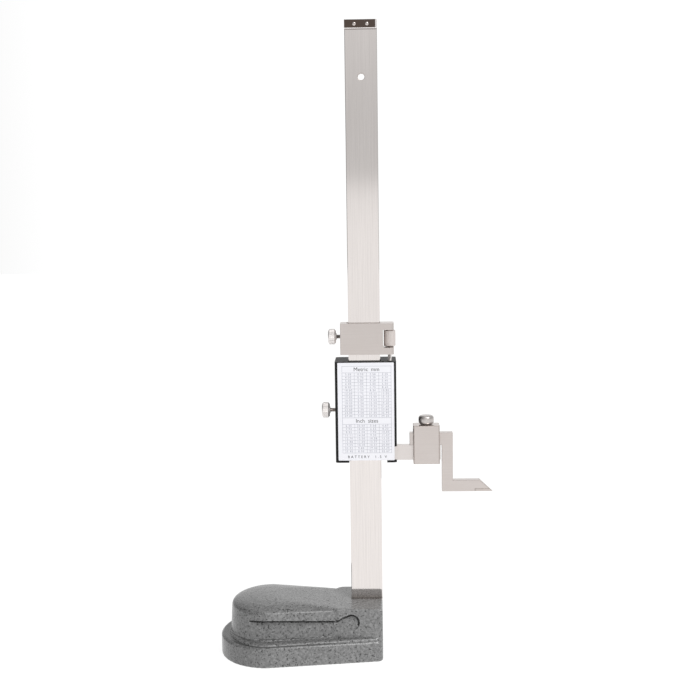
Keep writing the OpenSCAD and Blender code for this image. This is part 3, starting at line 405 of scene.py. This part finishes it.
def make_stage():
    """A pale floor, a room that is bright behind the gauge and darker behind the camera, and a soft lamp."""
    mesh = bpy.data.meshes.new("floor")
    corners = [(x * FLOOR_REACH, y * FLOOR_REACH, 0) for x, y in ((-1, -1), (1, -1), (1, 1), (-1, 1))]
    mesh.from_pydata(corners, [], [(0, 1, 2, 3)])
    floor = bpy.data.objects.new("floor", mesh)
    bpy.context.scene.collection.objects.link(floor)
    s = Shader("floor", Roughness=0.9, Emission_Strength=FLOOR_GLOW)
    s.bsdf.inputs["Base Color"].default_value = (*grey(FLOOR_TONE), 1)
    s.bsdf.inputs["Emission Color"].default_value = (1, 1, 1, 1)
    mesh.materials.append(s.mat)

    world = bpy.data.worlds.new("room")
    bpy.context.scene.world = world
    world.use_nodes = True
    tree = world.node_tree
    coords = tree.nodes.new("ShaderNodeTexCoord")
    split = tree.nodes.new("ShaderNodeSeparateXYZ")
    tree.links.new(coords.outputs["Generated"], split.inputs["Vector"])

    def tones(axis, low, high, stops):
        span = tree.nodes.new("ShaderNodeMapRange")
        span.inputs["From Min"].default_value = low
        span.inputs["From Max"].default_value = high
        ramp = tree.nodes.new("ShaderNodeValToRGB")
        tree.links.new(split.outputs[axis], span.inputs["Value"])
        tree.links.new(span.outputs["Result"], ramp.inputs["Fac"])
        while len(ramp.color_ramp.elements) < len(stops):
            ramp.color_ramp.elements.new(0.5)
        for element, (at, tone) in zip(ramp.color_ramp.elements, stops):
            element.position = (at - low) / (high - low)
            element.color = (tone, tone, tone, 1)
        return ramp.outputs["Color"]

    join = tree.nodes.new("ShaderNodeMix")
    join.data_type = "RGBA"
    tree.links.new(tones("Y", -1.0, 1.0, FRONT_TO_BACK), join.inputs[MIX_FACTOR])
    tree.links.new(tones("Z", ROOM_LOW, 1.0, FRONT_TONES), join.inputs[MIX_FIRST])
    tree.links.new(tones("Z", ROOM_LOW, 1.0, BACK_TONES), join.inputs[MIX_SECOND])
    side = tree.nodes.new("ShaderNodeMix")
    side.data_type = "RGBA"
    side.blend_type = "MULTIPLY"
    side.inputs[MIX_FACTOR].default_value = 1.0
    tree.links.new(join.outputs[MIX_RESULT], side.inputs[MIX_FIRST])
    tree.links.new(tones("X", -1.0, 1.0, SIDE_TONES), side.inputs[MIX_SECOND])
    tree.links.new(side.outputs[MIX_RESULT], tree.nodes["Background"].inputs["Color"])
    tree.nodes["Background"].inputs["Strength"].default_value = ROOM_LIGHT

    for name, place, aim, size, power in LIGHTS:
        data = bpy.data.lights.new(name, "AREA")
        data.size = size
        data.energy = power
        lamp = bpy.data.objects.new(name, data)
        lamp.location = place
        lamp.rotation_euler = (Vector(aim) - Vector(place)).to_track_quat("-Z", "Y").to_euler()
        bpy.context.scene.collection.objects.link(lamp)
    view = bpy.context.scene.view_settings
    view.view_transform = "Standard"
    view.look = "None"


def add_piece(name, bm, finish, body, smooth):
    """A bmesh as a named piece that rides on a body, smooth up to an angle in degrees or flat at 0."""
    bmesh.ops.remove_doubles(bm, verts=bm.verts, dist=MERGE_GAP)
    bmesh.ops.recalc_face_normals(bm, faces=bm.faces)
    mesh = bpy.data.meshes.new(name)
    bm.to_mesh(mesh)
    bm.free()
    for face in mesh.polygons:
        face.use_smooth = bool(smooth)
    if smooth:
        mesh.set_sharp_from_angle(angle=math.radians(smooth))
    mesh.materials.append(MATERIALS[finish])
    obj = bpy.data.objects.new(name, mesh)
    bpy.context.scene.collection.objects.link(obj)
    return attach(obj, body)


def add_block(bm, low, high):
    """A box from one corner to the other."""
    size = [h - l for l, h in zip(low, high)]
    middle = [(h + l) / 2 for l, h in zip(low, high)]
    shape = Matrix.Translation(middle) @ Matrix.Diagonal((*size, 1))
    bmesh.ops.create_cube(bm, size=1, matrix=shape)


def join_rows(bm, lowers, uppers):
    """A closed band of faces from each lower row of points to its upper one."""
    for lower, upper in zip(lowers, uppers):
        count = len(lower)
        for i in range(count):
            j = (i + 1) % count
            bm.faces.new((lower[i], lower[j], upper[j], upper[i]))


def add_rings(bm, rings):
    """Skins closed rings of points in order, with a cap at each end."""
    rows = [[bm.verts.new(point) for point in ring] for ring in rings]
    join_rows(bm, rows, rows[1:])
    bm.faces.new(rows[0][::-1])
    bm.faces.new(rows[-1])


def add_tube(bm, rings):
    """Skins closed rings of points in order and joins the last to the first, so the middle stays open."""
    rows = [[bm.verts.new(point) for point in ring] for ring in rings]
    join_rows(bm, rows, rows[1:] + rows[:1])


def axis_frame(start, direction):
    """A matrix that takes +Z at the origin to a direction at a start point."""
    turn = Vector((0, 0, 1)).rotation_difference(Vector(direction)).to_matrix().to_4x4()
    return Matrix.Translation(start) @ turn


def ring(radius, height, sides, rib=0.0):
    """One ring of a turned shape; with a rib depth every other point drops in."""
    points = []
    for i in range(sides):
        angle = 2 * math.pi * i / sides
        reach = radius - (rib if i % 2 else 0.0)
        points.append(Vector((reach * math.cos(angle), reach * math.sin(angle), height)))
    return points


def add_turned(bm, place, profile, sides, rib=0.0, ribbed=(), skin=add_rings):
    """A turned shape along a frame's +Z; the named rows of its profile carry ribs."""
    rings = [ring(r, h, sides, rib if i in ribbed else 0.0) for i, (r, h) in enumerate(profile)]
    skin(bm, [[place @ v for v in points] for points in rings])


def add_thread(bm, place, radius, length, pitch, depth, sides=20):
    """A threaded rod along a frame's +Z: the surface dips once in every pitch, one turn on."""
    steps = 4
    rows = []
    for k in range(int(length / pitch * steps) + 1):
        height = min(k * pitch / steps, length)
        row = []
        for i in range(sides):
            share = (k / steps - i / sides) % 1.0
            dip = depth * abs(2 * share - 1)
            reach = radius - dip
            angle = 2 * math.pi * i / sides
            row.append(place @ Vector((reach * math.cos(angle), reach * math.sin(angle), height)))
        rows.append(row)
    add_rings(bm, rows)


def add_text(bm, words, height, place, spacing=1.0):
    """Words as thin solid letters in a frame's XY plane, their middle at its origin."""
    curve = bpy.data.curves.new("words", "FONT")
    curve.body = words
    curve.size = height / CAP_SHARE
    curve.extrude = PRINT_T / 2
    curve.resolution_u = 2
    curve.space_character = spacing
    curve.align_x = "CENTER"
    curve.align_y = "CENTER"
    holder = bpy.data.objects.new("words", curve)
    bpy.context.scene.collection.objects.link(holder)
    mesh = bpy.data.meshes.new_from_object(holder.evaluated_get(bpy.context.evaluated_depsgraph_get()))
    mesh.transform(place)
    bm.from_mesh(mesh)
    bpy.data.objects.remove(holder)
    bpy.data.curves.remove(curve)
    bpy.data.meshes.remove(mesh)


def back_face(x, y, z):
    """A print frame on a wall that faces -Y."""
    return Matrix.Translation((x, y, z)) @ Matrix.Rotation(math.pi / 2, 4, "X")


def front_face(x, y, z):
    """A print frame on a wall that faces +Y, read from that side."""
    turn = Matrix.Rotation(math.pi, 4, "Z") @ Matrix.Rotation(math.pi / 2, 4, "X")
    return Matrix.Translation((x, y, z)) @ turn


def cast_base():
    """The casting with every edge rounded as cast iron and thick paint leave it."""
    source = NODES["base_casting"]
    copy = source.copy()
    copy.data = source.data.copy()
    copy.modifiers.clear()
    bpy.context.scene.collection.objects.link(copy)
    grain = copy.modifiers.new("grain", "REMESH")
    grain.mode = "VOXEL"
    grain.voxel_size = CAST_VOXEL
    ease = copy.modifiers.new("ease", "SMOOTH")
    ease.factor = 0.5
    ease.iterations = CAST_EASE
    mesh = bpy.data.meshes.new_from_object(copy.evaluated_get(bpy.context.evaluated_depsgraph_get()))
    bpy.data.objects.remove(copy)
    bm = bmesh.new()
    bm.from_mesh(mesh)
    seam = [v for v in bm.verts
            if abs(v.co.x - POCKET_SEAM_X) < POCKET_SEAM_W and POCKET_LOW < v.co.z < POCKET_HIGH]
    for _ in range(SEAM_EASE):
        bmesh.ops.smooth_vert(bm, verts=seam, factor=0.5, use_axis_x=True, use_axis_y=True, use_axis_z=True)
    piece = add_piece("cast_base", bm, "grey_paint", "base_column", smooth=60.0)
    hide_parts("base_casting")


def data_table():
    """The printed table on the data plate: two headed blocks of plain numbers, four columns each."""
    low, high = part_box("data_plate")
    y = low.y
    left, right = low.x + TABLE_LEFT, high.x - TABLE_RIGHT
    top = high.z - TABLE_TOP
    lines, small, large = bmesh.new(), bmesh.new(), bmesh.new()

    def bar(x0, x1, z0, z1):
        add_block(lines, (x0, y - PRINT_T / 2, z0), (x1, y + PRINT_T / 2, z1))

    def rule(z):
        bar(left, right, z - LINE_W / 2, z + LINE_W / 2)

    metric = [(d, p, d - p, round(d * METRIC_SHARE, 1)) for d, p in zip(METRIC_SIZES, METRIC_PITCHES)]
    inch = [(n * INCH / 16, t, n * INCH / 16 - INCH / t, n * INCH / 16 * INCH_SHARE)
            for n, t in zip(INCH_SIXTEENTHS, INCH_TURNS)]
    rule(top)
    column = (right - left) / 4
    z = top
    for words, rows in (("Metric  mm", metric), ("Inch  sizes", inch)):
        add_text(large, words, HEADER_TEXT, back_face((left + right) / 2, y, z - HEADER_H / 2))
        z -= HEADER_H
        block_top = z
        rule(z)
        for row in rows:
            for k, value in enumerate(row):
                place = back_face(left + column * (k + 0.5), y, z - ROW_H / 2)
                add_text(small, f"{value:.2f}", ROW_TEXT, place, ROW_SPACING)
            z -= ROW_H
            rule(z)
        for k in (1, 2, 3):
            bar(left + column * k - LINE_W / 2, left + column * k + LINE_W / 2, z, block_top)
    for x in (left, right):
        bar(x - LINE_W / 2, x + LINE_W / 2, z, top)
    place = back_face((left + right) / 2, y, z - FOOT_DROP)
    add_text(large, "BATTERY  1.5 V", FOOT_TEXT, place, FOOT_SPACING)
    for name, bm, finish in (("table_lines", lines, "grey_ink"), ("table_numbers", small, "grey_ink"),
                             ("table_headings", large, "ink")):
        add_piece(name, bm, finish, "head", smooth=0)


def scale_marks():
    """Millimetre lines and numbers on the scale strip."""
    low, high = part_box("scale_strip")
    y = high.y
    bm = bmesh.new()
    tens, fives, ones = MARK_REACH
    count = int((high.z - low.z) / MM) - 2 * MARK_START
    for k in range(count):
        reach = (tens if k % 10 == 0 else fives if k % 5 == 0 else ones) * (high.x - low.x)
        z = low.z + (MARK_START + k) * MM
        add_block(bm, (high.x - reach, y - PRINT_T / 2, z - MARK_W / 2),
                  (high.x - MARK_MARGIN, y + PRINT_T / 2, z + MARK_W / 2))
        if k % 10 == 0 and k:
            add_text(bm, str(k), MARK_TEXT, front_face(low.x + MARK_TEXT_X, y, z))
    add_piece("scale_marks", bm, "ink", "base_column", smooth=0)


def display_digits():
    """Seven-segment digits on the liquid-crystal panel."""
    low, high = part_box("lcd_panel")
    y = high.y
    middle = (low + high) / 2
    bm = bmesh.new()
    w, h, s = DIGIT_W, DIGIT_H, DIGIT_W * STROKE_SHARE

    def prism(points):
        add_rings(bm, [[Vector((x, y - PRINT_T / 2, z)) for x, z in points],
                       [Vector((x, y + PRINT_T / 2, z)) for x, z in points]])

    def segment(x0, z0, x1, z1):
        """A pointed stroke between two corners of a digit."""
        a, b = Vector((x0, z0)), Vector((x1, z1))
        along = (b - a).normalized()
        side = Vector((-along.y, along.x)) * s / 2
        a, b = a + along * s * STROKE_GAP, b - along * s * STROKE_GAP
        tip = along * s / 2
        prism([a, a + tip + side, b - tip + side, b, b - tip - side, a + tip - side])

    corners = {"a": (0, h, w, h), "b": (w, h, w, h / 2), "c": (w, h / 2, w, 0), "d": (0, 0, w, 0),
               "e": (0, h / 2, 0, 0), "f": (0, h, 0, h / 2), "g": (0, h / 2, w, h / 2)}
    pitch = w * DIGIT_PITCH
    x, z = middle.x + DIGIT_START, middle.z - h / 2
    for digit in DISPLAY_TEXT:
        if digit == ".":
            dot = x + pitch - w - (pitch - w) / 2 + s / 2
            prism([(dot, z - s / 2), (dot - s, z - s / 2), (dot - s, z + s / 2), (dot, z + s / 2)])
            continue
        for part in SEGMENTS[digit]:
            x0, z0, x1, z1 = corners[part]
            segment(x - x0, z + z0, x - x1, z + z1)
        x -= pitch
    add_text(bm, "mm", UNIT_TEXT, front_face(x - w / 2, y, z + UNIT_TEXT / 2))
    add_piece("display_digits", bm, "ink", "head", smooth=0)


def button_legends():
    """Plain words over the four buttons."""
    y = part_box("display_housing")[1].y
    bm = bmesh.new()
    for k, words in enumerate(("OFF", "ON", "ZERO", "mm/in"), start=1):
        low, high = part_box(f"button_{k}")
        add_text(bm, words, LEGEND_TEXT, front_face((low.x + high.x) / 2, y, high.z + LEGEND_RISE))
    add_piece("button_legends", bm, "white_ink", "head", smooth=0)


def knurled_knob(bm, place, radius, height):
    """A straight-knurled knob between two rounded shoulders, with a dished face."""
    c = height * KNOB_CHAMFER
    low = radius - KNOB_STEP
    dish = height - KNOB_DISH
    profile = [(radius * 0.72, 0), (low - c, 0), (low, c), (radius, c * 1.3),
               (radius, height - c * 1.3), (low, height - c), (low - c, height),
               (radius * 0.62, height), (radius * 0.5, dish), (radius * 0.1, dish)]
    add_turned(bm, place, profile, 2 * KNURL_RIBS, KNURL_DEPTH, (3, 4))


def lock_screws():
    """Both lock screws: knurled knob, collar and a real thread on the shank."""
    for name, node, body, thread in (
            ("carriage_screw", "carriage_lock_screw", "carriage_lock", "thread_steel"),
            ("head_screw", "head_lock_screw", "head_lock", "satin_steel")):
        low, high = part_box(node)
        y, z = (low.y + high.y) / 2, (low.z + high.z) / 2
        radius = (high.z - low.z) / 2
        bm = bmesh.new()
        inner = low.x + KNOB_H
        knurled_knob(bm, axis_frame((inner, y, z), (-1, 0, 0)), radius, KNOB_H)
        collar = [(radius * share, at) for share, at in COLLAR]
        add_turned(bm, axis_frame((inner - COLLAR_SINK, y, z), (1, 0, 0)), collar, 32)
        start = inner + COLLAR_SINK
        place = axis_frame((start, y, z), (1, 0, 0))
        shank = bmesh.new()
        add_thread(shank, place, SCREW_R, high.x - start, PITCH, PITCH * THREAD_DEPTH)
        add_piece(name + "_thread", shank, thread, body, smooth=40.0)
        piece = add_piece(name, bm, "knob_steel", body, smooth=40.0)
        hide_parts(node)


def feed_nut():
    """The knurled nut in the carriage's notch, with its two plain shoulders."""
    low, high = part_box("feed_nut")
    middle = (low + high) / 2
    radius, height = (high.x - low.x) / 2, high.z - low.z
    c = radius * NUT_CHAMFER
    bore = SCREW_R * NUT_BORE
    profile = [(bore, 0), (radius - 2 * c, 0), (radius - c, c), (radius, 1.5 * c),
               (radius, height - 1.5 * c), (radius - c, height - c), (radius - 2 * c, height), (bore, height)]
    place = axis_frame((middle.x, middle.y, low.z), (0, 0, 1))
    bm = bmesh.new()
    add_turned(bm, place, profile, 2 * NUT_RIBS, KNURL_DEPTH * NUT_KNURL, (3, 4), add_tube)
    piece = add_piece("knurled_nut", bm, "knurled_steel", "nut", smooth=30.0)
    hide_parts("feed_nut")


def hole_sleeve():
    """The drilled wall and broken edge of the hanging hole, in darker steel that paints the shade inside the
    hole.
    """
    low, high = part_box("column_beam")
    hole = next(mount for mount in frame["record"]["mounts"] if mount["name"] == "hanging_hole")
    radius = hole["dims"]["r_mm"] * MM
    place = axis_frame((hole["pos_m"][0], low.y, hole["pos_m"][2]), (0, 1, 0))
    depth, edge, skin, lip = high.y - low.y, HOLE_EDGE, SLEEVE_SKIN, SLEEVE_LIP
    profile = [(radius + edge, -skin), (radius - edge, edge), (radius - edge, depth - edge),
               (radius + edge, depth + skin), (radius + edge, depth + skin - lip),
               (radius, depth - 2 * edge), (radius, 2 * edge), (radius + edge, -skin + lip)]
    bm = bmesh.new()
    add_turned(bm, place, profile, 48, skin=add_tube)
    add_piece("hole_sleeve", bm, "edge_steel", "base_column", smooth=30.0)


def feed_thread():
    """The threaded feed screw between the head and the nut."""
    low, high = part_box("feed_screw")
    middle = (low + high) / 2
    place = axis_frame((middle.x, middle.y, low.z), (0, 0, 1))
    bm = bmesh.new()
    add_thread(bm, place, (high.x - low.x) / 2, high.z - low.z, PITCH, PITCH * FEED_DEPTH)
    piece = add_piece("feed_thread", bm, "screw_steel", "head", smooth=40.0)
    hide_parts("feed_screw")


def clamp_knob():
    """The polished clamp screw: a barrel-shaped knob on a threaded shank."""
    low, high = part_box("clamp_screw")
    middle = (low + high) / 2
    radius = (high.x - low.x) / 2
    foot = high.z - CLAMP_KNOB_H
    profile = [(radius * 0.5, 0)]
    for k in range(BARREL_ROWS + 1):
        u = math.sin(math.pi * (k / BARREL_ROWS - 0.5))
        swell = (1 - abs(u) ** 3) ** 0.5
        profile.append((radius * (BARREL_END + (1 - BARREL_END) * swell), CLAMP_KNOB_H * (0.5 + 0.5 * u)))
    profile += [(radius * 0.4, CLAMP_KNOB_H)]
    bm = bmesh.new()
    add_turned(bm, axis_frame((middle.x, middle.y, foot), (0, 0, 1)), profile, 64)
    place = axis_frame((middle.x, middle.y, low.z), (0, 0, 1))
    length = foot - low.z + CLAMP_OVERLAP
    add_thread(bm, place, CLAMP_SCREW_R, length, CLAMP_PITCH, CLAMP_PITCH * THREAD_DEPTH, 24)
    piece = add_piece("clamp_knob", bm, "polished_steel", "clamp_knob", smooth=50.0)
    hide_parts("clamp_screw")


def plate_screws():
    """Two domed screws with round sockets in the end plate."""
    low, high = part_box("end_plate_screws")
    radius = (high.z - low.z) / 2
    z = (low.z + high.z) / 2
    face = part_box("end_plate")[0].y
    bm = bmesh.new()
    for x in (low.x + radius, high.x - radius):
        rise = face - low.y
        profile = [(radius * PLATE_SHANK, -PLATE_SHANK_L), (radius * PLATE_SHANK, 0), (radius, 0)]
        for k in range(1, PLATE_DOME):
            a = math.pi / 2 * k / PLATE_DOME
            profile.append((radius * (PLATE_CROWN + (1 - PLATE_CROWN) * math.cos(a)), rise * math.sin(a)))
        profile += [(radius * PLATE_SOCKET[0], rise), (radius * PLATE_SOCKET[1], rise * 0.4)]
        add_turned(bm, axis_frame((x, face, z), (0, -1, 0)), profile, 36)
    piece = add_piece("plate_screws", bm, "satin_steel", "base_column", smooth=40.0)
    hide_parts("end_plate_screws")


def end_plate():
    """The dark end plate with bright ground chamfers at its foot and its right edge."""
    low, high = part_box("end_plate")
    c, y, foot = PLATE_CHAMFER, low.y, low.z

    def wall(x0, x1, z0, z1, depth):
        return [Vector((x, depth, z)) for x, z in ((x0, z0), (x1, z0), (x1, z1), (x0, z1))]

    bm = bmesh.new()
    add_rings(bm, [wall(low.x, high.x, foot, high.z, high.y), wall(low.x, high.x, foot, high.z, y + c),
                   wall(low.x, high.x - PLATE_SIDE, foot + c, high.z, y)])
    piece = add_piece("plate", bm, "dark_plate", "base_column", smooth=0)
    piece.data.materials.append(MATERIALS["bright_steel"])
    for face in piece.data.polygons:
        sloping = 0.3 < -face.normal.y < 0.9
        if sloping:
            face.material_index = 1
    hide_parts("end_plate")


make_camera()
make_stage()
MATERIALS = make_materials()
SLOT_OF = {row["node"]: row["material_slot"] for row in frame["record"]["subparts"]}
for node_name in NODES:
    finish = MATERIALS.get(SLOT_OF[node_name], MATERIALS["black_plastic"])
    if node_name == "head_frame":
        finish = MATERIALS["arm_steel"]
    if SLOT_OF[node_name] == "satin_steel":
        dress_node(node_name, finish, STEEL_BEVEL, MATERIALS["edge_steel"])
    else:
        dress_node(node_name, finish, NODE_BEVEL)

cast_base()
data_table()
scale_marks()
display_digits()
button_legends()
lock_screws()
feed_thread()
clamp_knob()
plate_screws()
end_plate()
feed_nut()
hole_sleeve()
